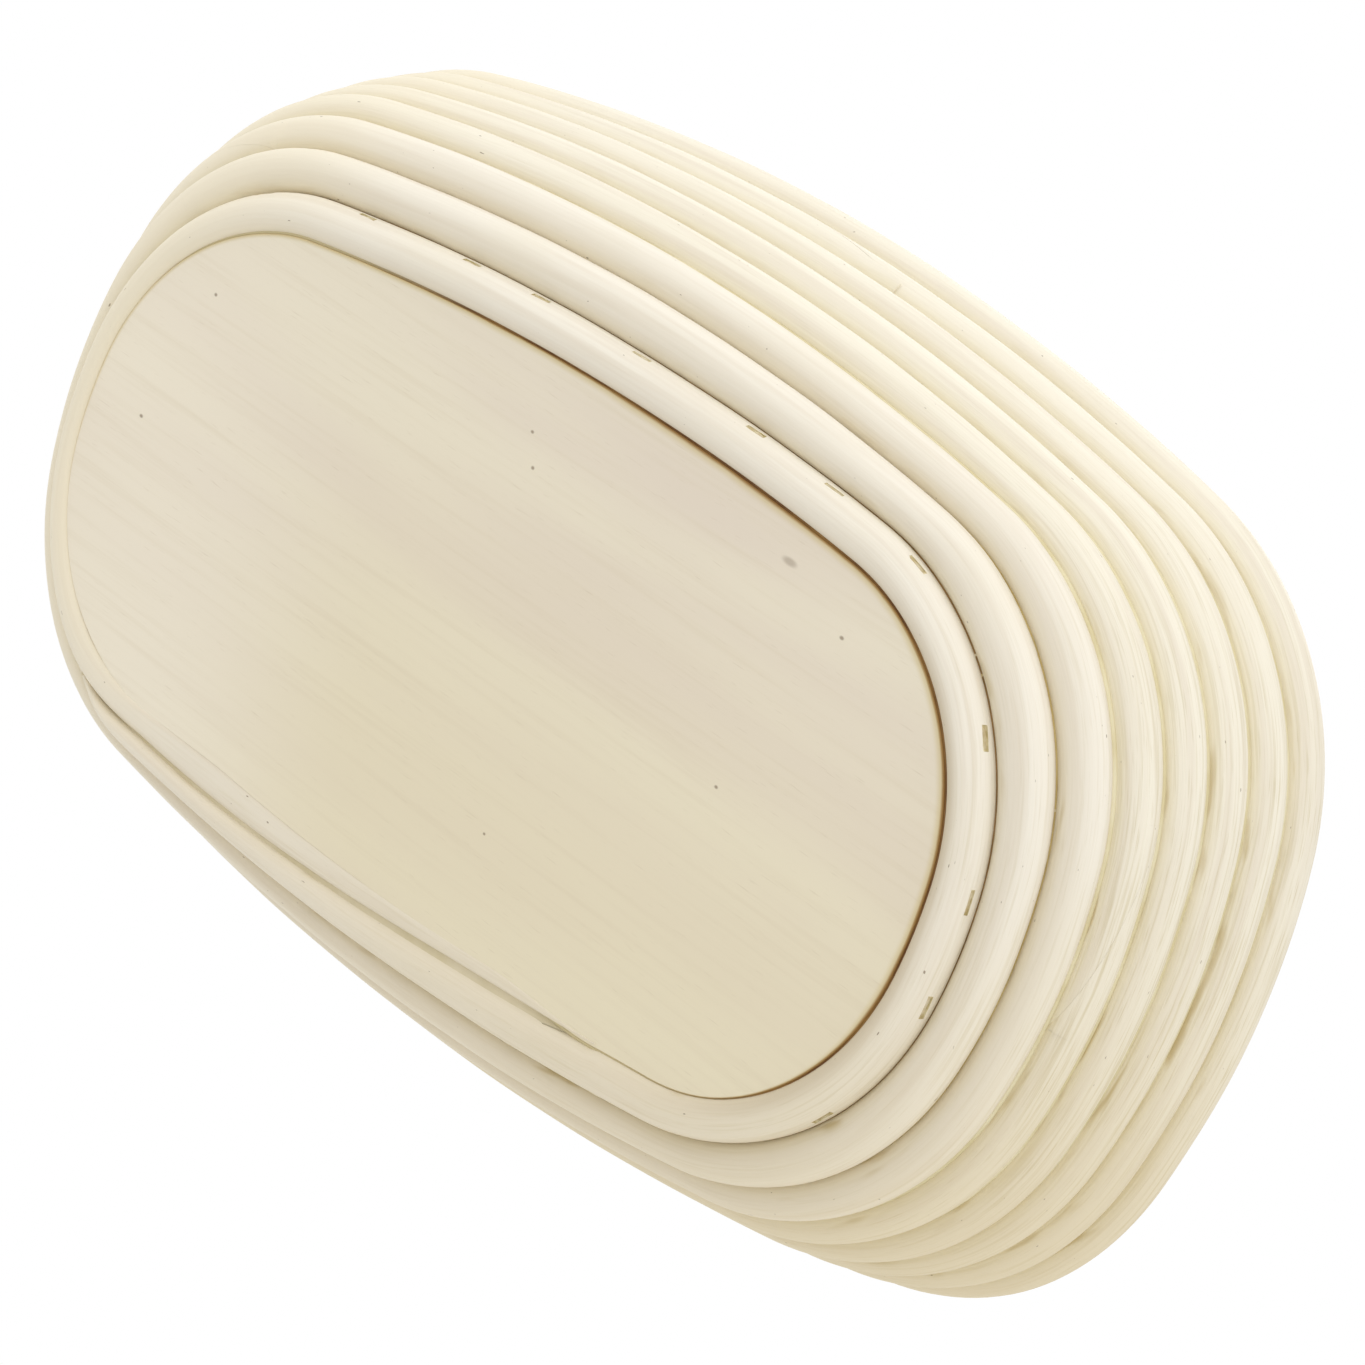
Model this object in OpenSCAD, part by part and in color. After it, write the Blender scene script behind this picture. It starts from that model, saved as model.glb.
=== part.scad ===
// Oblong proofing basket: round cane hoops stacked in a flaring wall round a plywood base.
// It stands on its lowest hoop with the mouth up. X runs along the basket, Y across it, and z = 0 is
// the plane that the basket stands on. All sizes are in millimetres and all angles in degrees.

/* [Base board] */
// Length of the plywood base
board_l = 240; // [200:1:270]
// Width of the plywood base
board_w = 114; // [100:1:140]
// Thickness of the plywood
board_t = 6; // [4:0.5:8]
// Radius of the base's four corners
board_corner_r = 48; // [30:1:50]
// How far each long side bows out between its corners
side_bow = 4.6; // [3:0.2:8]
// How far each short end bows out between its corners
end_bow = 0.2; // [0.1:0.1:3]
// How far the underside of the base lies above the foot of the lowest hoop
board_recess = 1.7; // [0:0.1:3]
// Gap between the edge of the base and the first hoop
board_gap = 0.25; // [0.1:0.05:0.5]

/* [Cane wall] */
// Diameter of the cane
cane_d = 9; // [7:0.5:11]
// Number of hoops in the wall
hoops = 8; // [5:1:10]
// Glue line between two hoops
glue_gap = 0.1; // [0.05:0.05:0.3]
// Slope of the wall from the first hoop to the second, from the horizontal
wall_start = 29.5; // [25:0.5:60]
// Slope that the wall comes up to at the rim, from the horizontal
wall_rim = 80; // [70:0.5:88]
// Share of the slope still to come that each hoop leaves to the next
wall_fade = 0.6; // [0.4:0.02:0.8]
// Growth of the corner radius for each millimetre that a hoop lies further out
corner_growth = 0.28; // [0.1:0.02:0.6]
// Growth of the bow of the long sides for each millimetre that a hoop lies further out
side_bow_growth = 0.18; // [0:0.02:0.3]
// Growth of the bow of the short ends for each millimetre that a hoop lies further out
end_bow_growth = 0.07; // [0:0.01:0.15]

/* [Scarf joints] */
// Length of the slanting joint that closes a hoop
scarf_l = 40; // [25:1:55]
// Length of the joint in the first hoop, which slants across the cane instead of up it
first_scarf_l = 150; // [80:5:180]
// Blunt step at each end of the slant
scarf_nib = 1.2; // [0.8:0.1:2]
// Glue line in the joint
scarf_gap = 0.16; // [0.1:0.02:0.3]

/* [Staples] */
// Width of a staple's crown, along the cane
crown_w = 4.6; // [3.5:0.1:6]
// Thickness of the square staple wire
wire = 0.7; // [0.5:0.05:1]
// Height of the staples of the base above its underside
staple_rise = 1.6; // [1:0.1:3]
// Depth to which a crown is set below the face of the cane
crown_set = 0.5; // [0.2:0.1:1]
// Room round a staple in its hole, on each side
staple_fit = 0.05; // [0.02:0.01:0.1]
// Staples that hold the first hoop to the base
board_staple_count = 24; // [12:1:30]
// Depth of those staples in the edge of the base
board_bite = 6; // [4:0.5:12]
// Staples that hold each hoop to the one below it
seam_staple_count = 12; // [6:1:18]
// Depth of those staples in the lower hoop
seam_bite = 4.5; // [3:0.5:5.5]

/* [Hidden] */
HOOP_NAMES = [for (n = [1 : hoops]) str("cane_hoop_", n)];
SEAM_NAMES = [for (n = [1 : hoops - 1]) str("seam_staples_", n)];

$fn = 48;
cane_r = cane_d / 2;
hoop_pitch = cane_d + glue_gap;
first_offset = board_gap + cane_r;
// The staples of the base run level into the edge of the plywood
board_staple_z = board_recess + staple_rise;
// Half of the cane's width at that height
staple_chord = sqrt(pow(cane_r, 2) - pow(cane_r - board_staple_z, 2));
// A corner leaves at least this much of a short end between it and the next
end_flat = 4;
corner_r = min(board_corner_r, board_w / 2 - side_bow - end_flat / 2);
board_leg = staple_chord - crown_set + first_offset + board_bite;
seam_leg = cane_d - crown_set + glue_gap + seam_bite;
// Where the turn of each hoop is closed, as a share of it from the middle of the -Y side
scarf_at = [0.519, 0.70, 0.82, 0.235, 0.46, 0.038, 0.64, 0.53];
// The first staple of the base lies this far along the hoop from the middle of the -Y side
board_staple_first = -38.9;
// Staples are set by eye: each is off its even place by up to this much, in a wave along the row
staple_stray = 4.2;
stray_start = 135;
stray_turn = 103;
// Reach of a side or end arc into the corner arc beside it, and how much slimmer it is there
lap = 1;
lap_step = 0.03;
cane_colour = "#E8DFC4";
ply_colour = "#E5DCC4";
steel_colour = "#A9A69E";

// Slope of the line from hoop n to hoop n + 1
function slope(n) = wall_rim - (wall_rim - wall_start) * pow(wall_fade, n - 1);
function hoop_offset(n) = n == 1 ? 0 : hoop_offset(n - 1) + hoop_pitch * cos(slope(n - 1));
function hoop_z(n) = n == 1 ? cane_r : hoop_z(n - 1) + hoop_pitch * sin(slope(n - 1));

// A bowed oblong as eight arcs that run into each other, anticlockwise from the -Y side.
// Each arc is [centre, radius, first direction, last direction].
function oblong(half_l, half_w, turn_r, bow_s, bow_e) =
    let (cx = half_l - turn_r - bow_e)
    let (cy = half_w - turn_r - bow_s)
    let (side_r = (cx * cx + pow(half_w - cy, 2) - turn_r * turn_r) / (2 * bow_s))
    let (end_r = (cy * cy + pow(half_l - cx, 2) - turn_r * turn_r) / (2 * bow_e))
    let (side_a = atan2(cy - half_w + side_r, cx))
    let (end_a = atan2(cy, cx - half_l + end_r))
    [
        [[0, side_r - half_w], side_r, side_a - 180, -side_a],
        [[cx, -cy], turn_r, -side_a, -end_a],
        [[half_l - end_r, 0], end_r, -end_a, end_a],
        [[cx, cy], turn_r, end_a, side_a],
        [[0, half_w - side_r], side_r, side_a, 180 - side_a],
        [[-cx, cy], turn_r, 180 - side_a, 180 - end_a],
        [[end_r - half_l, 0], end_r, 180 - end_a, 180 + end_a],
        [[-cx, -cy], turn_r, 180 + end_a, 180 + side_a]
    ];
function board_outline() = oblong(board_l / 2, board_w / 2, corner_r, side_bow, end_bow);
function hoop_outline(n) =
    let (out = hoop_offset(n))
    let (grow = first_offset + out)
    let (turn_r = corner_r + first_offset + corner_growth * out)
    let (bow_s = side_bow + side_bow_growth * out)
    let (bow_e = end_bow + end_bow_growth * out)
    oblong(board_l / 2 + grow, board_w / 2 + grow, turn_r, bow_s, bow_e);

function arc_length(arc) = arc[1] * (arc[3] - arc[2]) * PI / 180;
function turn_length(arcs, i = 0) = i == len(arcs) ? 0 : arc_length(arcs[i]) + turn_length(arcs, i + 1);
function arc_point(arc, angle) = arc[0] + arc[1] * [cos(angle), sin(angle)];
// The place [point, outward direction] that lies s along the arcs
function walk(arcs, s, i = 0) =
    s > arc_length(arcs[i]) && i < len(arcs) - 1
        ? walk(arcs, s - arc_length(arcs[i]), i + 1)
        : let (angle = arcs[i][2] + s / arcs[i][1] * 180 / PI) [arc_point(arcs[i], angle), angle];
// The same, with s counted from the middle of the -Y side and wrapped round the turn
function station(arcs, s) =
    let (turn = turn_length(arcs))
    let (from_start = s + arc_length(arcs[0]) / 2)
    walk(arcs, from_start - turn * floor(from_start / turn));

// Places its children s along the outline: X points outward, Y along the cane, Z up
module at_station(arcs, s, z) {
    place = station(arcs, s);
    translate([place[0].x, place[0].y, z]) rotate(place[1]) children();
}

// Sweeps the child profile along arcs, one after the other. Side and end arcs reach a little way
// into the corner arcs, and their profile is a hair slimmer, by $slim, so the turn is one piece.
module sweep(arcs) {
    for (arc = arcs) {
        is_corner = arc[0].x * arc[0].y != 0;
        reach = is_corner ? 0 : lap * 180 / PI / arc[1];
        $slim = is_corner ? 0 : lap_step;
        translate(arc[0]) rotate(arc[2] - reach)
            rotate_extrude(angle = arc[3] - arc[2] + 2 * reach, $fn = 128)
                translate([arc[1], 0]) children();
    }
}

// A wire staple: the middle of its crown's outer face is at the origin and its legs point to -X.
// As a hole it is larger by room on each side and open for some way above the crown.
module staple(leg, room = 0, above = 0) {
    thick = wire + 2 * room;
    translate([-wire - room, -crown_w / 2 - room, -thick / 2]) cube([thick + above, crown_w + 2 * room, thick]);
    for (side = [-1, 1])
        translate([-leg - room, side * (crown_w - wire) / 2 - thick / 2, -thick / 2]) cube([leg, thick, thick]);
}

// Places a staple of the base, or the hole for it, at each station round the first hoop
module at_board_staples() {
    arcs = hoop_outline(1);
    pitch = turn_length(arcs) / board_staple_count;
    for (i = [0 : board_staple_count - 1]) {
        stray = staple_stray * sin(stray_start + stray_turn * i);
        at_station(arcs, board_staple_first + i * pitch + stray, board_staple_z)
            translate([staple_chord - crown_set, 0, 0]) children();
    }
}

// Places a staple of seam n, or the hole for it: it goes through hoop n + 1 into hoop n
module at_seam_staples(n) {
    arcs = hoop_outline(n + 1);
    pitch = turn_length(arcs) / seam_staple_count;
    stagger = n % 2 == 0 ? 0.5 : 0;
    for (i = [0 : seam_staple_count - 1])
        at_station(arcs, (i + stagger) * pitch, hoop_z(n + 1))
            rotate([0, -slope(n), 0]) translate([cane_r - crown_set, 0, 0]) children();
}

module board_staple_holes() {
    at_board_staples() staple(board_leg, staple_fit, cane_r);
}
module seam_staple_holes(n) {
    at_seam_staples(n) staple(seam_leg, staple_fit, cane_r);
}

// The slot of a nibbed scarf joint: it slants up the cane from one blunt step to the other
module scarf_slot(n) {
    arcs = hoop_outline(n);
    half_l = scarf_l / 2;
    step = cane_r - scarf_nib;
    beyond = cane_d;
    line = [[-half_l, -beyond], [-half_l, -step], [half_l, step], [half_l, beyond]];
    shift = [-scarf_gap / 2, scarf_gap / 2];
    there = [for (p = line) p + shift];
    back = [for (i = [len(line) - 1 : -1 : 0]) line[i] - shift];
    share = scarf_at[(n - 1) % len(scarf_at)];
    at_station(arcs, share * turn_length(arcs), hoop_z(n)) rotate([90, 0, 90])
        linear_extrude(2 * cane_d, center = true) polygon(concat(there, back));
}

// The slot of the first hoop's long scarf: it crosses the cane from its inner to its outer face,
// in short runs that follow the bend
module side_scarf_slot() {
    arcs = hoop_outline(1);
    middle = scarf_at[0] * turn_length(arcs);
    half_l = first_scarf_l / 2;
    step = cane_r - scarf_nib;
    runs = 16;
    slant = [for (i = [0 : runs]) [half_l, step] * (2 * i / runs - 1)];
    line = concat([[-half_l, -cane_d]], slant, [[half_l, cane_d]]);
    shift = [-scarf_gap / 2, scarf_gap / 2];
    there = [for (p = line) p + shift];
    back = [for (i = [len(line) - 1 : -1 : 0]) line[i] - shift];
    plan = [
        for (p = concat(there, back))
            let (place = station(arcs, middle + p.x)) place[0] + p.y * [cos(place[1]), sin(place[1])]
    ];
    translate([0, 0, cane_r]) linear_extrude(2 * cane_d, center = true) polygon(plan);
}

// Plywood base: the lens that its two side discs share, trimmed round its corners and ends.
// The discs are a hair wider, so the trim starts with a clean step. The edge takes staples.
module base_board() {
    arcs = board_outline();
    color(ply_colour) difference() {
        translate([0, 0, board_recess]) intersection_for(i = [0, 4])
            translate(arcs[i][0]) cylinder(r = arcs[i][1] + lap_step, h = board_t, $fn = 256);
        translate([0, 0, board_recess - board_t]) sweep([for (i = [1, 2, 3, 5, 6, 7]) arcs[i]])
            translate([-$slim, 0]) square([board_l, 3 * board_t]);
        board_staple_holes();
    }
}

// One turn of cane, closed by its scarf, with the holes of the staples that hold it
module cane_hoop(n) {
    color(cane_colour) difference() {
        translate([0, 0, hoop_z(n)]) sweep(hoop_outline(n)) circle(cane_r - $slim);
        if (n == 1) side_scarf_slot();
        if (n > 1) scarf_slot(n);
        if (n == 1) board_staple_holes();
        if (n > 1) seam_staple_holes(n - 1);
        if (n < hoops) seam_staple_holes(n);
    }
}

// Staples driven level through the first hoop into the edge of the base
module board_staples() {
    color(steel_colour) at_board_staples() staple(board_leg);
}

// Staples driven down through hoop n + 1 into hoop n
module seam_staples(n) {
    color(steel_colour) at_seam_staples(n) staple(seam_leg);
}

base_board();
for (n = [1 : hoops])
    cane_hoop(n);
board_staples();
for (n = [1 : hoops - 1])
    seam_staples(n);
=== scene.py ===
import math
import random

import bpy
from mathutils import Matrix, Vector
from mathutils.kdtree import KDTree


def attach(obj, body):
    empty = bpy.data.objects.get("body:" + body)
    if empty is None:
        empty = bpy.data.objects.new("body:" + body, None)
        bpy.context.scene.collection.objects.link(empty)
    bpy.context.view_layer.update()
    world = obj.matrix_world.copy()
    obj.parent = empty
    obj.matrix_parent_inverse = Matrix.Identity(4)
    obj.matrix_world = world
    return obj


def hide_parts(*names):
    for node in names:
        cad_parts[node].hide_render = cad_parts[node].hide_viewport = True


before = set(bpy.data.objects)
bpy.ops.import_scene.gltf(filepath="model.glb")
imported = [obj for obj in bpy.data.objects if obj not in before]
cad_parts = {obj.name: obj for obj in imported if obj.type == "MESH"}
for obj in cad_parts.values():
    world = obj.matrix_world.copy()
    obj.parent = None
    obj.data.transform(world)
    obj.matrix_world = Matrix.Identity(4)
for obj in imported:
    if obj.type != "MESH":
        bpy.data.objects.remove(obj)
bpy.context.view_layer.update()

# Base board.
# One oblong of thin plywood with bowed sides, sawn hot enough to brown its edge, then sanded on both faces.
# It lies inside the lowest hoop, a little above the hoop's foot, and was set in slightly askew.
mm = 0.001
board_l = 240 * mm
board_w = 114 * mm
board_t = 6 * mm
board_corner_r = 48 * mm
side_bow = 4.6 * mm
end_bow = 0.2 * mm
board_gap = 0.25 * mm
cane_r = 4.5 * mm
first_offset = board_gap + cane_r
# The base is let in deepest at the near right and lies almost flush with the hoop's foot at the far left
recess_deep = 1.6 * mm
recess_flush = 1.0 * mm
depth_middle = 0.62
depth_along = 0.5
depth_across = 0.8
board_ease = 0.25 * mm
# Its edge is pressed into the cane by this much where it lies deep, and by more where it lies flush
press_deep = 0.35 * mm
press_flush = 1.2 * mm
# How far the base and the lowest hoop are turned and shifted from the middle of the hoops above
askew_turn = math.radians(-1.65)
askew_shift = Vector((-1.28 * mm, 2.97 * mm, 0))
# The lowest hoop's long joint lies on the far side between these two places along the hoop
joint_first = 254 * mm
joint_last = 428 * mm
# The doubled cane of the joint needs this much room, less at its two ends, and the base is trimmed by as much
joint_room = 4.0 * mm
joint_end_room = 1.0 * mm
room_last = 407 * mm
room_full = 414 * mm
room_rise = 32 * mm
room_fall = 48 * mm
room_ease = 34 * mm
# At its left end the base runs out by this much instead, over the flank of the hoop
left_reach = 2.6 * mm
left_middle = 0.75
left_span = 72 * mm
# The mesh of the base: steps round it, and how far in from the edge its rings lie, in mm
board_steps = 420
board_insets = [38, 26, 16, 9, 5, 3, 1.8, 1]


def oblong(half_l, half_w, turn_r, bow_s, bow_e):
    """Arcs (centre, radius, first and last direction) of a bowed oblong, anticlockwise from its -Y side."""
    cx = half_l - turn_r - bow_e
    cy = half_w - turn_r - bow_s
    side_r = (cx ** 2 + (half_w - cy) ** 2 - turn_r ** 2) / (2 * bow_s)
    end_r = (cy ** 2 + (half_l - cx) ** 2 - turn_r ** 2) / (2 * bow_e)
    side_a = math.atan2(cy - half_w + side_r, cx)
    end_a = math.atan2(cy, cx - half_l + end_r)
    half = math.pi
    return [
        ((0, side_r - half_w), side_r, side_a - half, -side_a),
        ((cx, -cy), turn_r, -side_a, -end_a),
        ((half_l - end_r, 0), end_r, -end_a, end_a),
        ((cx, cy), turn_r, end_a, side_a),
        ((0, half_w - side_r), side_r, side_a, half - side_a),
        ((-cx, cy), turn_r, half - side_a, half - end_a),
        ((end_r - half_l, 0), end_r, half - end_a, half + end_a),
        ((-cx, -cy), turn_r, half + end_a, half + side_a),
    ]


def turn_length(arcs):
    return sum(radius * (last - first) for _, radius, first, last in arcs)


def station(arcs, s):
    """The point and the outward direction that lie s along the arcs, from the middle of the -Y side."""
    _, radius, first, last = arcs[0]
    s = (s + radius * (last - first) / 2) % turn_length(arcs)
    for centre, radius, first, last in arcs:
        length = radius * (last - first)
        if s <= length:
            break
        s -= length
    angle = first + s / radius
    out = Vector((math.cos(angle), math.sin(angle), 0))
    return Vector((*centre, 0)) + radius * out, out


def laid(share):
    """How a piece lies that takes a share of the base's turn and shift."""
    return Matrix.Translation(askew_shift * share) @ Matrix.Rotation(askew_turn * share, 4, "Z")


def smooth(x):
    x = min(max(x, 0), 1)
    return x * x * (3 - 2 * x)


first_arcs = oblong(board_l / 2 + first_offset, board_w / 2 + first_offset,
                    board_corner_r + first_offset, side_bow, end_bow)
first_turn = turn_length(first_arcs)


def inner_reach(s):
    """How far the lowest hoop reaches in past its even inner face, in metres, s along it."""
    s = s % first_turn
    ends = smooth(1 + (s - joint_first) / room_ease) * smooth(1 - (s - room_last) / room_ease)
    swell = smooth((s - joint_first) / room_rise) * smooth((room_full - s) / room_fall)
    left = smooth(1 - abs(s - left_middle * first_turn) / left_span)
    return joint_end_room * ends + (joint_room - joint_end_room) * swell - left_reach * left


def depth_share(x, y):
    """How deep the base lies at a place on it, from 0 at its far left to 1 at its near right."""
    return smooth(depth_middle + depth_along * x / board_l - depth_across * y / board_w)


def recess(x, y):
    """How far the underside of the base lies above the hoop's foot."""
    return recess_flush + (recess_deep - recess_flush) * depth_share(x, y)


def board_edge(s, inset):
    """The place so far in from the edge of the base, beside s along the lowest hoop, and the way out."""
    at, out = station(first_arcs, s)
    press = press_flush + (press_deep - press_flush) * depth_share(at.x, at.y)
    return at - out * (cane_r - press + inner_reach(s) + inset), out


def tube(size, count, start=0, closed=False):
    """Faces between rings of points in a row, and over the first and last ring where the row isn't closed."""
    faces = []
    for k in range(count if closed else count - 1):
        here, ahead = start + k * size, start + (k + 1) % count * size
        for i in range(size):
            j = (i + 1) % size
            faces.append((here + i, ahead + i, ahead + j, here + j))
    if not closed:
        last = start + (count - 1) * size
        faces += [tuple(range(start, start + size)), tuple(reversed(range(last, last + size)))]
    return faces


def new_piece(name, points, faces, uvs=None):
    """A mesh object from points, faces and one UV pair for each corner of each face."""
    mesh = bpy.data.meshes.new(name)
    mesh.from_pydata([tuple(p) for p in points], [], faces)
    if uvs:
        layer = mesh.uv_layers.new(name="wrap")
        layer.data.foreach_set("uv", [c for face in uvs for uv in face for c in uv])
    mesh.validate()
    piece = bpy.data.objects.new(name, mesh)
    bpy.context.scene.collection.objects.link(piece)
    return piece


def board_mesh():
    """Rings of points from the middle of the underside, round the eased edge, to that of the upper face."""
    under = [(inset * mm, 0.0) for inset in board_insets] + [(board_ease, 0.0), (0.0, board_ease)]
    rings = under + [(inset, board_t - rise) for inset, rise in reversed(under)]
    place = laid(1)
    points, coords = [], []
    for inset, rise in rings:
        for i in range(board_steps):
            s = first_turn * i / board_steps
            at, _ = board_edge(s, inset)
            points.append(place @ Vector((at.x, at.y, recess(at.x, at.y) + rise)))
            coords.append((s, inset))
    faces = tube(board_steps, len(rings))
    uvs = [[coords[p] for p in face] for face in faces]
    # The last face of each ring ends a whole turn along, not back at 0
    for i in range(board_steps - 1, len(faces) - 2, board_steps):
        uvs[i] = [(s or first_turn, inset) for s, inset in uvs[i]]
    return new_piece("base_plate", points, faces, uvs)


def linear(code):
    """An sRGB hex colour as linear RGBA."""
    parts = [int(code[i:i + 2], 16) / 255 for i in (1, 3, 5)]
    return [c / 12.92 if c <= 0.04045 else ((c + 0.055) / 1.055) ** 2.4 for c in parts] + [1]


def put(tree, kind, wires=None, **settings):
    """Adds a shader node with its settings, and sets its inputs or links them to a socket or a node."""
    item = tree.nodes.new("ShaderNode" + kind)
    for name, value in settings.items():
        setattr(item, name, value)
    for key, value in (wires or {}).items():
        if isinstance(value, bpy.types.Node):
            value = next(socket for socket in value.outputs if socket.enabled)
        if isinstance(value, bpy.types.NodeSocket):
            tree.links.new(value, item.inputs[key])
        else:
            item.inputs[key].default_value = value
    return item


# Settings that many nodes share. A MapRange node takes its value at input 0, its first range at 1
# and 2, and its second at 3 and 4; a Mix node of two colours takes its share at 0 and the colours at 6 and 7.
smoothly = {"interpolation_type": "SMOOTHSTEP"}
colours = {"data_type": "RGBA"}
product = {"operation": "MULTIPLY"}
product_plus = {"operation": "MULTIPLY_ADD"}
along_way = {"operation": "DOT_PRODUCT"}


def new_material(name):
    """A material with an empty node tree, and that tree."""
    material = bpy.data.materials.new(name)
    material.use_nodes = True
    material.node_tree.nodes.clear()
    return material, material.node_tree


def long_grain(tree, at, along, across, detail, rough=0.5):
    """Noise with so many repeats to a unit along its first axis and across it."""
    stretched = put(tree, "VectorMath", {0: at, 1: (along, across, across)}, **product)
    return put(tree, "TexNoise", {"Vector": stretched, "Scale": 1, "Detail": detail, "Roughness": rough})


# Sanded birch plywood: a pale, dry face with faint grain along the base, short pores and a few dark specks,
# creamier at the left end and yellower along the far side. The hot saw left the edge brown, with a tan fade
# on the face, strongest on the right end and the -Y side. A least width of that tan all along the edge, wider
# on the -Y side, is painted shade.
ply_pale = linear("#e9e0ca")
ply_pink = linear("#e2d6c4")
ply_yellow = linear("#e3d8b6")
ply_cream = linear("#efe6d2")
ply_grain = linear("#d5c7aa")
ply_pore = linear("#bfae91")
ply_speck = linear("#6d5538")
scorch_and_shade_tan = linear("#cdb981")
scorch_brown = linear("#ab874a")
scorch_dark = linear("#8c5f2a")
# The wood's patterns: their length along the grain and width across it in mm, detail and roughness
ply_patterns = {"cloud": (170, 24, 2, 0.5), "grain": (70, 1.6, 4, 0.6), "pore": (5, 0.35, 1, 0.5)}
grain_relief = 0.05 * mm
# Each speck: place on the base in mm, its half length and half width, and how dark it is
specks = [(-107.1, -2.0, 0.6, 0.4, 0.65), (-98.4, -32.7, 0.5, 0.4, 0.65), (-4.7, -42.6, 0.5, 0.35, 0.65),
          (-1.4, -36.5, 0.5, 0.4, 0.65), (64.9, -46.8, 2.0, 0.8, 0.38), (82.3, -39.6, 0.6, 0.4, 0.65),
          (68.1, -2.7, 0.5, 0.35, 0.65), (20, 31, 0.4, 0.3, 0.65)]
# The way to the cream end, the way to the scorched side, and the size in mm of patches in the scorch
to_far_left = (-0.9, 0.45, 0)
to_near_right = (0.57, -0.82, 0)
scorch_patch = 22
# How far the tan and the brown run in from the edge where the saw was hottest, and the least that each does.
# The tan's least, wider on the near side than on the far side, is painted shade along the edge
tan_hot = 1.9 * mm
edge_shade_near = 1.1 * mm
edge_shade_far = 0.1 * mm
brown_hot = 1.2 * mm
brown_least = 0.02 * mm

plywood, tree = new_material("sanded_birch_plywood")
where = put(tree, "TexCoord").outputs["Object"]
wood = {key: long_grain(tree, where, 1 / (run * mm), 1 / (width * mm), detail, rough)
        for key, (run, width, detail, rough) in ply_patterns.items()}
side = put(tree, "SeparateXYZ", {0: where}).outputs
hue = put(tree, "MapRange", {0: wood["cloud"], 1: 0.3, 2: 0.7}, **smoothly)
face = put(tree, "Mix", {0: hue, 6: ply_pale, 7: ply_pink}, **colours)
far = put(tree, "MapRange", {0: side[1], 1: -50 * mm, 2: 40 * mm, 4: 0.6}, **smoothly)
middle = put(tree, "MapRange", {0: side[0], 1: -90 * mm, 2: -20 * mm}, **smoothly)
far = put(tree, "Math", {0: far, 1: middle}, **product)
face = put(tree, "Mix", {0: far, 6: face, 7: ply_yellow}, **colours)
left = put(tree, "VectorMath", {0: where, 1: to_far_left}, **along_way)
left = put(tree, "MapRange", {0: left, 1: 30 * mm, 2: 110 * mm, 4: 0.7}, **smoothly)
face = put(tree, "Mix", {0: left, 6: face, 7: ply_cream}, **colours)
lines = put(tree, "MapRange", {0: wood["grain"], 1: 0.45, 2: 0.8, 4: 0.28}, **smoothly)
face = put(tree, "Mix", {0: lines, 6: face, 7: ply_grain}, **colours)
dots = put(tree, "MapRange", {0: wood["pore"], 1: 0.68, 2: 0.85, 4: 0.3})
face = put(tree, "Mix", {0: dots, 6: face, 7: ply_pore}, **colours)
for x, y, long, wide, strong in specks:
    spot = laid(1) @ Vector((x * mm, y * mm, recess(x * mm, y * mm)))
    off = put(tree, "VectorMath", {0: where, 1: spot}, operation="SUBTRACT")
    off = put(tree, "VectorMath", {0: off, 1: (1 / (long * mm), 1 / (wide * mm), 1 / mm)}, **product)
    reach = put(tree, "VectorMath", {0: off}, operation="LENGTH")
    dark = put(tree, "MapRange", {0: reach, 1: 1.3, 2: 0.4, 4: strong}, **smoothly)
    face = put(tree, "Mix", {0: dark, 6: face, 7: ply_speck}, **colours)
# The second coordinate of the wrap is how far in from the edge a place lies
inset = put(tree, "SeparateXYZ", {0: put(tree, "UVMap", uv_map="wrap")}).outputs[1]
uneven = put(tree, "TexNoise", {"Vector": where, "Scale": 1 / (scorch_patch * mm), "Detail": 4})
heat = put(tree, "VectorMath", {0: where, 1: to_near_right}, **along_way)
heat = put(tree, "MapRange", {0: heat, 1: -10 * mm, 2: 60 * mm, 3: 0.04, 4: 1}, **smoothly)
heat = put(tree, "Math", {0: heat, 1: uneven}, **product)
# The tan's least reach is painted shade along the edge: wider on the near side, narrow on the far side
edge_shade_reach = put(tree, "MapRange", {0: side[1], 1: 40 * mm, 2: 0, 3: edge_shade_far, 4: edge_shade_near})
tan_reach = put(tree, "Math", {0: heat, 1: tan_hot, 2: edge_shade_reach}, **product_plus)
tan = put(tree, "MapRange", {0: inset, 1: tan_reach, 2: 0, 4: 0.8}, **smoothly)
face = put(tree, "Mix", {0: tan, 6: face, 7: scorch_and_shade_tan}, **colours)
brown_reach = put(tree, "Math", {0: heat, 1: brown_hot, 2: brown_least}, **product_plus)
brown = put(tree, "MapRange", {0: inset, 1: brown_reach, 2: 0}, **smoothly)
char = put(tree, "Mix", {0: heat, 6: scorch_brown, 7: scorch_dark}, **colours)
face = put(tree, "Mix", {0: brown, 6: face, 7: char}, **colours)
relief = put(tree, "Bump", {"Height": wood["grain"], "Strength": 0.25, "Distance": grain_relief})
matt = put(tree, "BsdfPrincipled", {"Base Color": face, "Roughness": 0.62, "IOR": 1.45, "Normal": relief})
put(tree, "OutputMaterial", {0: matt})

base_plate = board_mesh()
base_plate.data.materials.append(plywood)
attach(base_plate, "root")
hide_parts("base_board")

# Cane hoops.
# Eight turns of round peeled rattan, bent green and left to dry, each closed by a slanting joint and glued to
# the next. The lowest hoop's joint is long, with its two ends side by side; the others slant from seam to
# seam and run out to thin tips, of which one is blunt.
hoop_count = 8
glue_gap = 0.1 * mm
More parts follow.
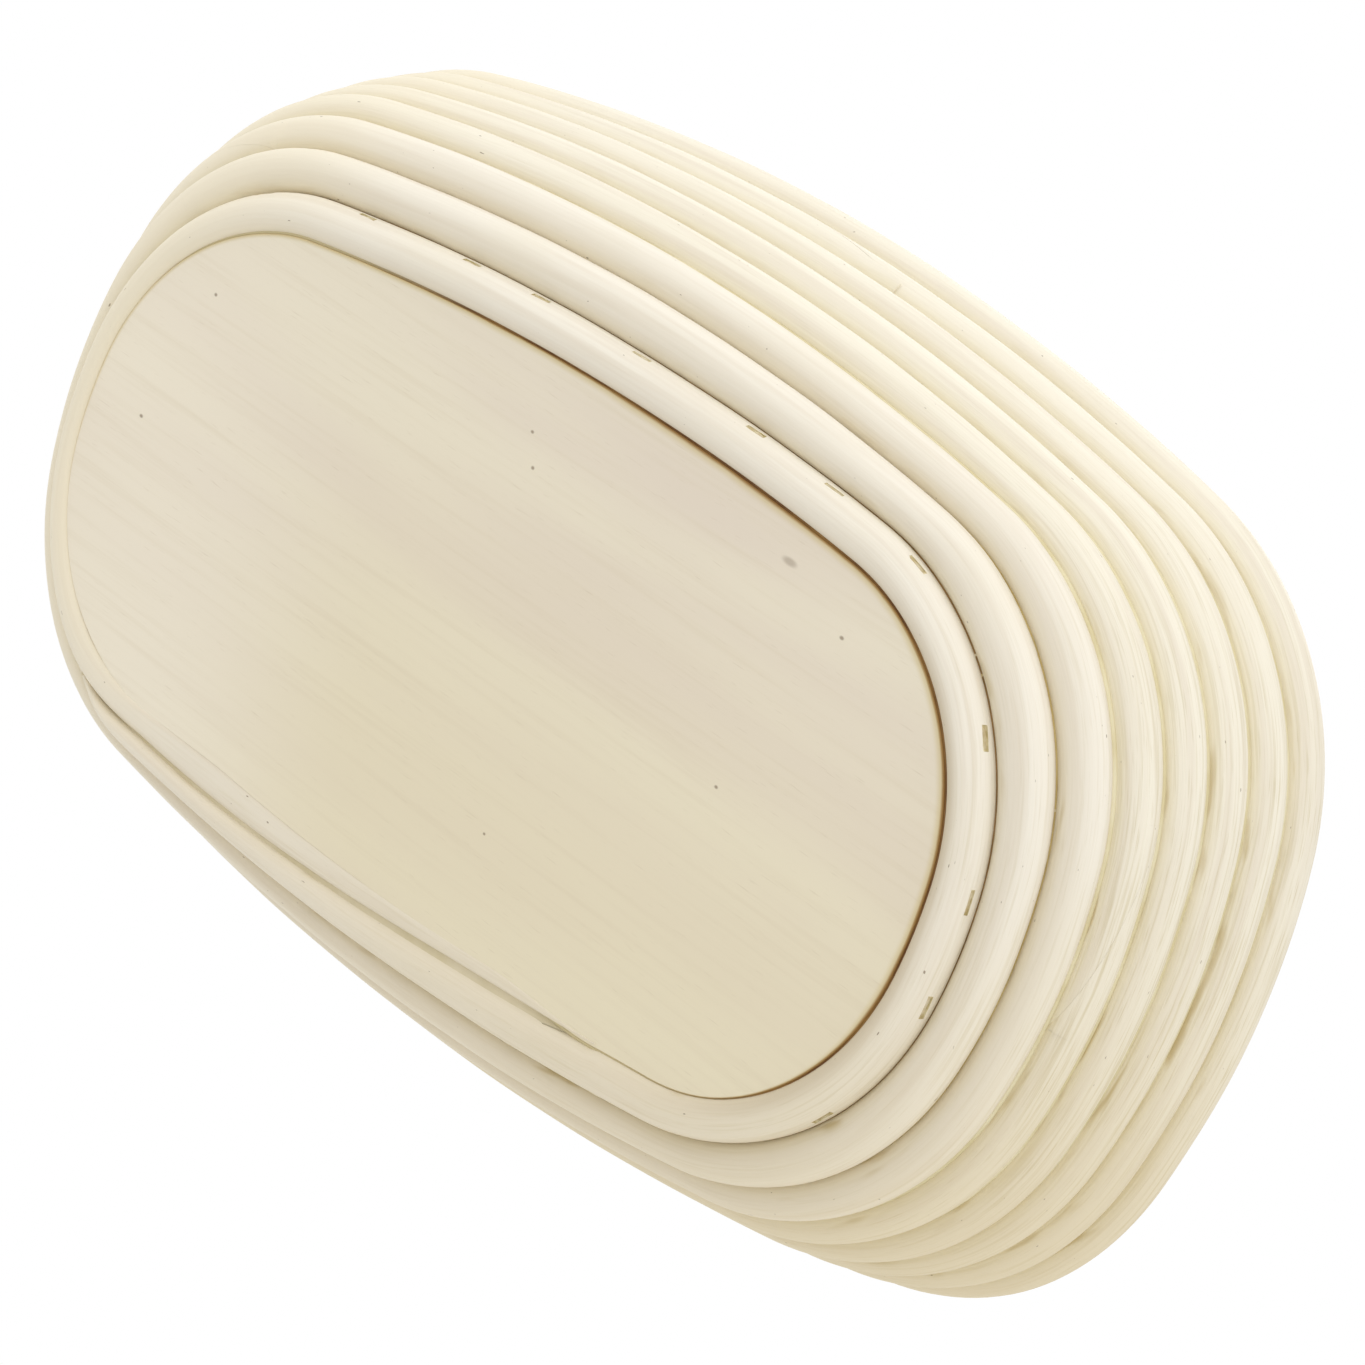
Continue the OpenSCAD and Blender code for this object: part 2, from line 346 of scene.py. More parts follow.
# What is left between one hoop and the next as they lie: a crack over the first two, and then a tight seam
seam_gap = [0.05 * mm, 0.06 * mm] + [-0.03 * mm] * 5
wall_start = math.radians(29.5)
wall_rim = math.radians(80)
wall_fade = 0.6
corner_growth = 0.28
side_bow_growth = 0.18
end_bow_growth = 0.07
# Where the joints of the hoops above the lowest lie, as a share of the turn
scarf_at = {2: 0.70, 3: 0.82, 4: 0.232, 5: 0.46, 6: 0.56, 7: 0.0078, 8: 0.53}
scarf_l = 40 * mm
scarf_gap = 0.03 * mm
# The slice runs out to a thin tip, apart from one hoop whose last tip is blunt and springs up a little
scarf_tip = 0.3 * mm
scarf_step = 0.03 * mm
blunt_hoop = 7
blunt_tip = 2.0 * mm
blunt_gap = 0.2 * mm
tip_spring = 0.7 * mm
spring_share = 0.3
# The line where the long joint's two ends meet runs across the hoop in two bends: how far in it starts,
# and where each bend starts, how long it is and how far across it goes
split_start = 5.0 * mm
split_bends = [(275 * mm, 120 * mm, 4.9 * mm), (394 * mm, 34 * mm, 4.5 * mm)]
# How low the joint's two ends are whittled, as shares of the cane, how much of that the inner one loses on
# its upper side alone, and how thin the outer one runs out
inner_least = 0.6
inner_drop = 0.9
outer_least = 0.2
outer_tip = 0.1 * mm
# How soon an end is back at its full height as it widens, and how square its section is while it is thin
full_height = 2.4
thin_square = 0.9
# The inner end is shaved lower by this share, flat and level with the base, up to this share of the joint
inner_shave = 0.2
inner_flat = 1.8
shave_last = 0.7
# How much of the base's turn and shift the lower hoops share
askew_share = {1: 1.0, 2: 0.6, 3: 0.2}
# How far the upper hoops bulge at the far right corner, and its place and spread as shares of the turn
corner_bulge = {5: 0.3 * mm, 6: 0.6 * mm, 7: 0.9 * mm, 8: 1.3 * mm}
corner_at = 0.33
corner_spread = 0.055
# How hand-bent cane wanders, as a seed and a size: sideways, up and down, and in girth as a share of it
wander = [(20, 0.12 * mm), (40, 0.08 * mm), (60, 0.013)]
wave_counts = (2, 3, 5, 9, 16, 27)
wave_fade = 0.6
# The mesh of a hoop: points round the cane, the step along it, and the angle from which an edge is sharp
around = 32
stride = 2.4 * mm
crease = math.radians(40)
line_steps = 900
tiny = 1e-6
# A length of texture that keeps the streaks of one hoop apart from the next
hoop_length = 2.0


def slope(n):
    """Slope of the wall from hoop n to hoop n + 1."""
    return wall_rim - (wall_rim - wall_start) * wall_fade ** (n - 1)


def hoop_offset(n):
    return sum((2 * cane_r + glue_gap) * math.cos(slope(k)) for k in range(1, n))


def hoop_z(n):
    return cane_r + sum((2 * cane_r + glue_gap) * math.sin(slope(k)) for k in range(1, n))


def hoop_arcs(n):
    out = hoop_offset(n)
    grow = first_offset + out
    return oblong(board_l / 2 + grow, board_w / 2 + grow, board_corner_r + first_offset + corner_growth * out,
                  side_bow + side_bow_growth * out, end_bow + end_bow_growth * out)


def waver(seed, turn, size):
    """A seeded sum of waves along a hoop."""
    draw = random.Random(seed)
    waves = [(k, size * draw.uniform(0.5, 1) / k ** wave_fade, draw.uniform(0, 2 * math.pi))
             for k in wave_counts]
    return lambda s: sum(a * math.sin(2 * math.pi * k * s / turn + p) for k, a, p in waves)


def hand_bend(n):
    """How hoop n wanders sideways and up along its turn, and how its girth varies."""
    turn = turn_length(hoop_arcs(n))
    return [waver(seed + n, turn, size) for seed, size in wander]


def corner_push(n, share):
    """How far hoop n bulges outward at a share of its turn."""
    return corner_bulge.get(n, 0) * smooth(1 - abs(share % 1 - corner_at) / corner_spread)


def hoop_middle(n):
    """The middle of hoop n as a function of the place s along it: point and outward direction, as it lies."""
    arcs = hoop_arcs(n)
    turn = turn_length(arcs)
    sway, lift, _ = hand_bend(n)
    place = laid(askew_share.get(n, 0))
    turned = place.to_3x3()

    def at(s):
        point, out = station(arcs, s)
        push = sway(s % turn) + corner_push(n, s / turn)
        point = point + out * push + Vector((0, 0, hoop_z(n) + lift(s % turn)))
        return place @ point, turned @ out

    return at, turn


def close_line(n):
    """Close-set places along the middle of hoop n, to lay the next hoop against."""
    at, turn = hoop_middle(n)
    line = KDTree(line_steps)
    for k in range(line_steps):
        line.insert(at(turn * k / line_steps)[0], k)
    line.balance()
    return line


def bulge(x, power):
    return math.copysign(abs(x) ** (2 / power), x)


def whittled(low, high, least=1.0, drop=0.0, flat=0.0):
    """Section of an end whittled thin between two places across the joint: (x, y, share round the cane).

    Its height falls to a least share of the cane's, and a share drop of that loss is on the upper side alone.
    """
    full = min((high - low) / (2 * cane_r), 1)
    tall = cane_r * (least + (1 - least) * smooth(full * full_height))
    power = 2 + thin_square * (1 - full) + flat
    section = []
    for i in range(around):
        a = 2 * math.pi * i / around
        x = (low + high) / 2 + (high - low) / 2 * bulge(math.cos(a), power)
        section.append((x, (cane_r - tall) * drop + tall * bulge(math.sin(a), power), i / around))
    return section


def sliced(cut, kept):
    """Section of an end that is sliced flat at cut, of which the side that kept (1 or -1) names stays."""
    keep = math.acos(max(-1, min(1, kept * cut / cane_r)))
    # So many points on each side lie on the skin, and the rest lie on the cut
    arc = around * 3 // 8
    section = []
    for i in range(around):
        k = (i + around // 2) % around - around // 2 if kept > 0 else i - around // 2
        if abs(k) <= arc:
            a = keep * k / arc
            x, y = cane_r * math.cos(a), cane_r * math.sin(a)
        else:
            part = (abs(k) - arc) / (around // 2 - arc)
            a = math.copysign(keep + (math.pi - keep) * part, k)
            x, y = cane_r * math.cos(keep), math.copysign(cane_r * math.sin(keep) * (1 - part), k)
        share = a / (2 * math.pi) + (0 if kept > 0 else 0.5)
        section.append((kept * x, kept * y, share % 1 if i else 0.0))
    return section


def joint_split(s):
    """Where the long joint's two ends meet, across the lowest hoop, s along it."""
    return split_start - sum(across * smooth((s - first) / length) for first, length, across in split_bends)


def first_section(s, turn):
    """Section of the lowest hoop, s along it: whole, or one of the long joint's two ends."""
    low, high = -cane_r, cane_r + inner_reach(s)
    if s < joint_last:
        share = (s - joint_first) / (joint_last - joint_first)
        shaved = 1 - smooth((share - shave_last) / (1 - shave_last))
        section = whittled(max(joint_split(s), low), high, inner_least, inner_drop, inner_flat * shaved)
        return [(x, y * (1 - inner_shave * shaved) if y > 0 else y, v) for x, y, v in section]
    if s > turn + joint_first:
        return whittled(low, max(joint_split(s - turn) - scarf_gap, low + outer_tip), outer_least)
    return whittled(low, high)


def scarf_section(n, inner, outer):
    """Section of a higher hoop, at shares of its joint along the inner and the outer end."""
    blunt = n == blunt_hoop
    slant = 2 * cane_r - scarf_tip - (blunt_tip if blunt else scarf_tip)
    if inner < 1 + tiny:
        return sliced(scarf_tip - cane_r + slant * inner - scarf_gap / 2, -1)
    if outer > -tiny:
        gap = blunt_gap if blunt else scarf_gap
        rise = tip_spring * smooth((outer - 1 + spring_share) / spring_share) if blunt else 0
        return [(x, y + rise, v) for x, y, v in sliced(scarf_tip - cane_r + slant * outer + gap / 2, 1)]
    return whittled(-cane_r, cane_r)


def even_stops(first, last):
    count = round((last - first) / stride)
    return [first + (last - first) * k / count for k in range(count + 1)]


def cane_piece(name, rings):
    """A cane with two cut ends from rings of (place along it, [(point, share round it), ...])."""
    points = [p for _, ring in rings for p, _ in ring]
    faces, uvs = [], []
    for k in range(len(rings) - 1):
        u0, u1 = rings[k][0], rings[k + 1][0]
        for i in range(around):
            j = (i + 1) % around
            faces.append((k * around + i, k * around + j, (k + 1) * around + j, (k + 1) * around + i))
            v = [rings[k][1][i][1], rings[k][1][j][1], rings[k + 1][1][j][1], rings[k + 1][1][i][1]]
            if j == 0:
                v[1] += 1
                v[2] += 1
            uvs.append([(u0, v[0]), (u0, v[1]), (u1, v[2]), (u1, v[3])])
    last = (len(rings) - 1) * around
    faces += [tuple(reversed(range(around))), tuple(range(last, last + around))]
    uvs += [[(rings[end][0], 0.5)] * around for end in (0, -1)]
    piece = new_piece(name, points, faces, uvs)
    piece.data.polygons.foreach_set("use_smooth", [True] * (len(faces) - 2) + [False, False])
    piece.data.set_sharp_from_angle(angle=crease)
    return piece


def cane_hoop(n):
    """One turn of cane whose two ends overlap in the joint.

    The section's first axis points to the hoop below, or to the base; its second points out to the foot side.
    """
    at, turn = hoop_middle(n)
    girth = hand_bend(n)[2]
    if n == 1:
        stops = even_stops(joint_first, turn + joint_last)
    else:
        below = close_line(n - 1)
        first, last = scarf_at[n] * turn - scarf_l / 2, scarf_at[n] * turn + scarf_l / 2
        stops = even_stops(first, last) + even_stops(last + scarf_step, turn + first - scarf_step)
        stops += even_stops(turn + first, turn + last)
    rings = []
    for s in stops:
        middle, out = at(s)
        if n == 1:
            lean, fill, section = math.pi, 1, first_section(s, turn)
        else:
            # The cane is pressed oval, or fills out, until it all but touches the hoop below
            to_below = below.find(middle)[0] - middle
            inward, upward = to_below.dot(out), to_below.z
            lean = math.atan2(upward, inward)
            fill = (math.hypot(inward, upward) - cane_r - seam_gap[n - 2]) / cane_r
            section = scarf_section(n, (s - first) / (last - first), (s - turn - first) / (last - first))
        size = 1 + girth(s % turn)
        ring = []
        for x, y, v in section:
            x = size * x * (fill if x > 0 else 1)
            y = size * y
            r = x * math.cos(lean) - y * math.sin(lean)
            z = x * math.sin(lean) + y * math.cos(lean)
            ring.append((middle + out * r + Vector((0, 0, z)), v))
        rings.append((n * hoop_length + s, ring))
    return cane_piece(f"cane_turn_{n}", rings)


# Peeled rattan core: dry, matt and cream, with long fine fibres in grey and straw, and tiny dark specks.
# A straw colour down in the valley between two hoops is painted shade. The upper hoops are rougher, the far
# side is worn, and darker and yellower, the left end is warmer, and the lowest hoop has painted shade on its
# flank beside the base at the right end.
cane_cream = linear("#ede6d7")
cane_butter = linear("#eee7d5")
cane_grey = linear("#dfd4c1")
cane_straw = linear("#eae2cf")
cane_fibre = linear("#c3b58b")
# Dust colour, which also stands for painted shade on the flank towards the hoop below
cane_dust_and_shade = linear("#d8ccb5")
cane_far_tone = linear("#d8c79e")
cane_warm = linear("#ede2c6")
cane_shade = linear("#c9bba0")
# Straw colour of the painted shade in the valley between hoops
cane_valley_shade = linear("#e0d6ae")
cane_stain = linear("#b8a165")
cane_speck = linear("#6d5638")
# The cane's patterns: their length along it and width round it in mm, and detail
# Real pores are about 0.1 mm across, drawn at twice that so that they show
cane_patterns = {"streak": (90, 2.2, 3), "fibre": (26, 0.55, 3), "pore": (7, 0.22, 1), "speck": (1.6, 0.5, 0),
                 "cloud": (45, 30, 1), "stain": (18, 3, 2)}
fibre_relief = 0.12 * mm
# The ways to the side that wore most and to the side that is darkest and yellowest
to_worn = (0.6, 0.8, 0)
to_far_tone = (0.3, 1, 0)
# How far the fibres of smooth and of rough cane stand out, and how strong the painted shade is on the lowest
# hoop's right end
smooth_fibres = 0.2
rough_fibres = 0.9
end_shade_share = 0.8


def peeled_rattan(name, ground, rough, end_shade=0.0):
    """The cane's finish on a ground colour, with fibres that stand out by rough, and painted shade, at the
    strength given, on the flank beside the base at its right end.
    """
    material, tree = new_material(name)
    wrap = put(tree, "SeparateXYZ", {0: put(tree, "UVMap", uv_map="wrap")}).outputs
    angle = put(tree, "Math", {0: wrap[1], 1: 2 * math.pi}, **product)
    # Round the cane, this is 1 at the seam with the hoop below, or beside the base, and -1 opposite
    round_x = put(tree, "Math", {0: angle}, operation="COSINE")
    round_y = put(tree, "Math", {0: angle}, operation="SINE")
    skin = put(tree, "CombineXYZ", {0: wrap[0], 1: round_x, 2: round_y})
    noise = {key: long_grain(tree, skin, 1 / (run * mm), cane_r / (width * mm), detail)
             for key, (run, width, detail) in cane_patterns.items()}
    pale = put(tree, "MapRange", {0: noise["streak"], 1: 0.42, 2: 0.72, 4: 0.6}, **smoothly)
    tone = put(tree, "Mix", {0: pale, 6: ground, 7: cane_grey}, **colours)
    warm = put(tree, "MapRange", {0: noise["cloud"], 1: 0.45, 2: 0.75, 4: 0.6}, **smoothly)
    tone = put(tree, "Mix", {0: warm, 6: tone, 7: cane_straw}, **colours)
    # The far side of the basket is rougher, and darker and yellower
    where = put(tree, "TexCoord").outputs["Object"]
    worn = put(tree, "VectorMath", {0: where, 1: to_worn}, **along_way)
    worn = put(tree, "MapRange", {0: worn, 1: -40 * mm, 2: 110 * mm, 3: 0.18, 4: 1}, **smoothly)
    thread = put(tree, "MapRange", {0: noise["fibre"], 1: 0.48, 2: 0.7, 4: 0.2 + 0.36 * rough}, **smoothly)
    thread = put(tree, "Math", {0: thread, 1: worn}, **product)
    tone = put(tree, "Mix", {0: thread, 6: tone, 7: cane_fibre}, **colours)
    dash = put(tree, "MapRange", {0: noise["pore"], 1: 0.6, 2: 0.76, 4: 0.16 + 0.44 * rough})
    dash = put(tree, "Math", {0: dash, 1: worn}, **product)
    tone = put(tree, "Mix", {0: dash, 6: tone, 7: cane_fibre}, **colours)
    far_tone = put(tree, "VectorMath", {0: where, 1: to_far_tone}, **along_way)
    far_tone = put(tree, "MapRange", {0: far_tone, 1: 0, 2: 130 * mm, 4: 0.58 + 0.27 * rough}, **smoothly)
    tone = put(tree, "Mix", {0: far_tone, 6: tone, 7: cane_far_tone}, **colours)
    # Dust and painted shade on the side towards the hoop below, or towards the base on the lowest hoop
    dust_and_shade = put(tree, "MapRange", {0: round_x, 1: -0.4, 2: 0.8, 4: 0.55 - 0.45 * rough}, **smoothly)
    tone = put(tree, "Mix", {0: dust_and_shade, 6: tone, 7: cane_dust_and_shade}, **colours)
    # The left end is warmer and cleaner, and the right end has painted shade on the flank beside the base
    lengthwise = put(tree, "SeparateXYZ", {0: where}).outputs[0]
    left = put(tree, "MapRange", {0: lengthwise, 1: -60 * mm, 2: -125 * mm, 4: 0.6}, **smoothly)
    tone = put(tree, "Mix", {0: left, 6: tone, 7: cane_warm}, **colours)
    if end_shade:
        end = put(tree, "MapRange", {0: lengthwise, 1: 70 * mm, 2: 115 * mm, 4: end_shade}, **smoothly)
        flank = put(tree, "MapRange", {0: round_x, 1: -0.3, 2: 0.6}, **smoothly)
        end_shading = put(tree, "Math", {0: end, 1: flank}, **product)
        tone = put(tree, "Mix", {0: end_shading, 6: tone, 7: cane_shade}, **colours)
    # The valley beside the seam gets a straw painted shade, and is stained in places on the worn side
    valley = put(tree, "MapRange", {0: round_x, 1: 0.5, 2: 1}, **smoothly)
    valley_shade = put(tree, "Math", {0: valley, 1: 0.2 + 0.2 * rough}, **product)
    tone = put(tree, "Mix", {0: valley_shade, 6: tone, 7: cane_valley_shade}, **colours)
    blot = put(tree, "MapRange", {0: noise["stain"], 1: 0.56, 2: 0.7, 4: 0.8}, **smoothly)
    blot = put(tree, "Math", {0: blot, 1: valley}, **product)
    blot = put(tree, "Math", {0: blot, 1: worn}, **product)
    tone = put(tree, "Mix", {0: blot, 6: tone, 7: cane_stain}, **colours)
    fleck = put(tree, "MapRange", {0: noise["speck"], 1: 0.865, 2: 0.9, 4: 0.7})
    tone = put(tree, "Mix", {0: fleck, 6: tone, 7: cane_speck}, **colours)
    height = put(tree, "Math", {0: noise["pore"], 1: 0.4, 2: noise["fibre"]}, **product_plus)
    relief = put(tree, "Bump", {"Height": height, "Strength": 0.3 + 0.4 * rough, "Distance": fibre_relief})
    dry = put(tree, "BsdfPrincipled", {"Base Color": tone, "Roughness": 0.58, "IOR": 1.45, "Normal": relief})
    put(tree, "OutputMaterial", {0: dry})
    return material


# The lowest hoop has painted shade on its flank beside the base at the right end
end_shaded_cane = peeled_rattan("peeled_rattan_end_shaded", cane_cream, smooth_fibres, end_shade_share)
smooth_cane = peeled_rattan("peeled_rattan", cane_cream, smooth_fibres)
rough_cane = peeled_rattan("peeled_rattan_fibrous", cane_butter, rough_fibres)

hoops = [cane_hoop(n) for n in range(1, hoop_count + 1)]
for n, hoop in enumerate(hoops, 1):
    hoop.data.materials.append(end_shaded_cane if n == 1 else smooth_cane if n <= 3 else rough_cane)
    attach(hoop, "root")
    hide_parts(f"cane_hoop_{n}")

# Glue lines.
# Wood glue that was squeezed out of each seam and dried there, with a hollow fillet in the long joint whose
# greyish colour is partly painted shade of the groove. Beside the two lowest hoops it shows as a thin brown
# line, partly dusty glue and partly painted shade of the crack; higher up it is straw-coloured.
bead_r = [0.5 * mm, 0.5 * mm] + [0.8 * mm] * 5
# How far each bead stands out of its seam, towards the foot side
bead_rise = [0.8 * mm, 0.85 * mm] + [2.0 * mm] * 5
bead_sides = 8
bead_steps = 300
# Where the bead round the base lies: out from the edge of the base, and above its underside
edge_bead_r = 0.5 * mm
edge_bead_out = 0.25 * mm
edge_bead_deep = 0.75 * mm
# Section of the fillet in the long joint's groove: across towards the base, and out to the foot side, in mm
fillet = [(-2.3, 3.6), (-1.4, 3.1), (-0.5, 2.75), (0.4, 2.7), (1.2, 3.0), (1.8, 3.4), (0.9, 1.0), (-1.0, 1.0)]
# Over which share of the joint it widens at its start, from which share it sinks and thins, what is left of
# it at its two ends, and how high it is at its start
fillet_start = 0.14
fillet_sink = 0.78
fillet_least = 0.1
fillet_low = 0.75
# How wide the inner end must be for the fillet's whole width on that side
fillet_room = 3.8 * mm
fillet_steps = 90


def glue_bead(name, rings, closed=True):
    """A thin bead from rings of points along it."""
    faces = tube(bead_sides, len(rings), closed=closed)
    bead = new_piece(name, [p for ring in rings for p in ring], faces)
    bead.data.polygons.foreach_set("use_smooth", [True] * len(faces))
    return bead


def round_ring(middle, out, radius):
    turns = [2 * math.pi * i / bead_sides for i in range(bead_sides)]
    return [middle + out * radius * math.cos(a) + Vector((0, 0, radius * math.sin(a))) for a in turns]


def seam_rings(n):
    """The bead in the seam between hoop n and the next."""
    radius, rise = bead_r[n - 1], bead_rise[n - 1] - bead_r[n - 1]
    at, turn = hoop_middle(n)
    above = close_line(n + 1)
    rings = []
    for k in range(bead_steps):
        middle, out = at(turn * k / bead_steps)
        to_next = above.find(middle)[0] - middle
        forward, upward = to_next.dot(out), to_next.z
        far = math.hypot(forward, upward)
        forward, upward = forward / far, upward / far
        x = cane_r + seam_gap[n - 1] / 2
        middle = middle + out * (forward * x + upward * rise) + Vector((0, 0, upward * x - forward * rise))
        rings.append(round_ring(middle, out, radius))
    return rings


def edge_rings():
    """The bead between the edge of the base and the lowest hoop."""
    place = laid(1)
    rings = []
    for k in range(bead_steps):
        at, out = board_edge(first_turn * k / bead_steps, -edge_bead_out)
        at.z = recess(at.x, at.y) + edge_bead_deep
        rings.append(round_ring(place @ at, place.to_3x3() @ out, edge_bead_r))
    return rings


def fillet_rings():
    """The fillet in the groove of the lowest hoop's long joint."""
    at, _ = hoop_middle(1)
    rings = []
    for k in range(fillet_steps + 1):
        u = k / fillet_steps
        s = joint_first + (joint_last - joint_first) * u
        middle, out = at(s)
        middle = middle - out * joint_split(s)
        rising = smooth(u / fillet_start)
        left = fillet_least + (1 - fillet_least) * (1 - smooth((u - fillet_sink) / (1 - fillet_sink)))
        wide = (fillet_least + (1 - fillet_least) * rising) * left
        inward = wide * min((cane_r + inner_reach(s) - joint_split(s)) / fillet_room, 1)
        deep = (fillet_low + (1 - fillet_low) * rising) * left
        ring = [(x * (wide if x < 0 else inward), y * deep) for x, y in reversed(fillet)]
        rings.append([middle - out * x * mm - Vector((0, 0, y * mm)) for x, y in ring])
    return rings


# Dried wood glue: a slightly glossy film, darker where it is thick, and dusty in patches about 12 mm long.
dust_patch = 12


def dried_glue(name, thick, thin, pale=None, first=0.0, last=0.0):
    """The glue's finish in two colours; a pale third one at the far left fades between first and last."""
    material, tree = new_material(name)
    where = put(tree, "TexCoord").outputs["Object"]
    dust_and_shade = put(tree, "TexNoise", {"Vector": where, "Scale": 1 / (dust_patch * mm), "Detail": 3})
    dusty = put(tree, "MapRange", {0: dust_and_shade, 1: 0.4, 2: 0.65})
    film = put(tree, "Mix", {0: dusty, 6: thick, 7: thin}, **colours)
    if pale:
        near = put(tree, "VectorMath", {0: where, 1: to_near_right}, **along_way)
        brown = put(tree, "MapRange", {0: near, 1: first, 2: last}, **smoothly)
        film = put(tree, "Mix", {0: brown, 6: pale, 7: film}, **colours)
    resin = put(tree, "BsdfPrincipled", {"Base Color": film, "Roughness": 0.45})
    put(tree, "OutputMaterial", {0: resin})
    return material


scorched_glue = dried_glue("scorched_wood_glue", linear("#6b451b"), linear("#8f6a34"),
                           linear("#cabc90"), -10 * mm, 30 * mm)
# The brown of the two lowest glue lines is partly dusty glue and partly painted shade of the crack
dusty_glue_and_crack_shade = dried_glue("dusty_wood_glue_and_crack_shade", linear("#7d6030"), linear("#957444"),
                        linear("#d0c39c"), -60 * mm, -20 * mm)
amber_glue = dried_glue("amber_wood_glue", linear("#b8a062"), linear("#cdb87c"))
clear_glue = dried_glue("straw_wood_glue", linear("#d6caa0"), linear("#e3dab8"))
# The fillet's greyish colour is partly painted shade of the groove
dry_glue_and_groove_shade = dried_glue("dry_wood_glue_and_groove_shade", linear("#cdc09c"), linear("#d8ccae"))

beads = [(glue_bead("glue_line_base", edge_rings()), scorched_glue),
         (glue_bead("glue_line_joint", fillet_rings(), closed=False), dry_glue_and_groove_shade)]
for n in range(1, hoop_count):
    glue = [dusty_glue_and_crack_shade, amber_glue, clear_glue][min(n, 3) - 1]
    beads.append((glue_bead(f"glue_line_{n}", seam_rings(n)), glue))
for bead, glue in beads:
    bead.data.materials.append(glue)
    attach(bead, "root")

# Staples.
# Narrow wire staples from an air gun: a row goes level through the lowest hoop into the edge of the base, and
# each further hoop is stapled to the one below it. Their crowns are sunk in short slots that they punched.
crown_w = 4.6 * mm
wire = 0.7 * mm
crown_set = 0.05 * mm
staple_bend = 0.5 * mm
bend_steps = 4
# The points: how long each is, and how thin it ends; and how wide the flats of the wire are
staple_point = 1.2 * mm
point_thin = 0.3
wire_flat = 0.6
board_staple_z = 3.3 * mm
board_staple_count = 24
board_bite = 6 * mm
seam_staple_count = 12
seam_bite = 4.5 * mm
# Where the row round the base starts, and how its staples stray along the hoop and tilt
board_staple_first = -38.9 * mm
staple_stray = 4.2 * mm
stray_start = math.radians(135)
stray_turn = math.radians(103)
staple_tilt = math.radians(5)
tilt_seed = 5
# The slots: their room beside and beyond the crown, how deep and how wide they are torn, and how they flare
slot_side = 0.07 * mm
slot_end = 0.1 * mm
slot_deep = 0.22 * mm
slot_top = 3 * mm
slot_torn = (0.9, 1.5)
slot_flare = 1.25
slot_seed = 9
# The long joint's outer end is too thin for slots over this length
thin_end = 86 * mm
staple_chord = math.sqrt(cane_r ** 2 - (cane_r - board_staple_z) ** 2)
board_leg = staple_chord - crown_set + first_offset + board_bite
seam_leg = 2 * cane_r - crown_set + glue_gap + seam_bite


def upright(arcs, s, z, share, tilt=0.0, lean=0.0, push=0.0):
    """A frame at s along a hoop: X outward, leaning up by lean, Y along the cane, turned about X by tilt."""
    at, out = station(arcs, s)
    at = at + out * push
    turned = Matrix.Rotation(math.atan2(out.y, out.x), 4, "Z")
    local = Matrix.Rotation(-lean, 4, "Y")
    return laid(share) @ Matrix.Translation((at.x, at.y, z)) @ turned @ local @ Matrix.Rotation(tilt, 4, "X")


def board_staple_places():
    draw = random.Random(tilt_seed)
    stand = Matrix.Translation((staple_chord - crown_set, 0, 0))
    places = []
    for i in range(board_staple_count):
        s = board_staple_first + i * first_turn / board_staple_count
        s += staple_stray * math.sin(stray_start + stray_turn * i)
        tilt = draw.uniform(-staple_tilt, staple_tilt)
        places.append(upright(hoop_arcs(1), s, board_staple_z, 1, tilt) @ stand)
    return places


def in_thin_end(place):
    """Whether a staple lies where the long joint's outer end is too thin for a slot."""
    spot = laid(1).inverted() @ place.translation
    start, stop = (station(first_arcs, s)[0] for s in (joint_last - thin_end, joint_last))
    return spot.y > 0 and min(start.x, stop.x) < spot.x < max(start.x, stop.x)


def seam_staple_places(n):
    arcs = hoop_arcs(n + 1)
    pitch = turn_length(arcs) / seam_staple_count
    stagger = 0.5 if n % 2 == 0 else 0
    stand = Matrix.Translation((cane_r - crown_set, 0, 0))
    places = []
    for i in range(seam_staple_count):
        push = corner_push(n + 1, (i + stagger) / seam_staple_count)
        share = askew_share.get(n + 1, 0)
        places.append(upright(arcs, (i + stagger) * pitch, hoop_z(n + 1), share, 0, slope(n), push) @ stand)
    return places


def staple_row(name, places, leg):
    """Wire staples, crown outward: eight-sided wire bent round two corners, with chisel points."""
    half = (crown_w - wire) / 2
    corner = Vector((-wire / 2 - staple_bend, staple_bend - half))
    turns = [math.pi / 2 * k / bend_steps for k in range(bend_steps + 1)]
    path = [Vector((-leg, -half)), Vector((-leg + staple_point, -half))]
    path += [corner + staple_bend * Vector((math.sin(t), -math.cos(t))) for t in turns]
    path += [Vector((p.x, -p.y)) for p in reversed(path)]
    edge, flat = wire / 2, wire / 2 * wire_flat
    ring = [(edge, flat), (flat, edge), (-flat, edge), (-edge, flat),
            (-edge, -flat), (-flat, -edge), (flat, -edge), (edge, -flat)]
    points, faces = [], []
    for place in places:
        faces += tube(len(ring), len(path), len(points))
        for k, p in enumerate(path):
            ahead = (path[min(k + 1, len(path) - 1)] - path[max(k - 1, 0)]).normalized()
            across = Vector((ahead.y, -ahead.x))
            thin = point_thin if k in (0, len(path) - 1) else 1
            for a, b in ring:
                spot = p + across * (a * thin)
                points.append(place @ Vector((spot.x, spot.y, b)))
    return new_piece(name, points, faces)


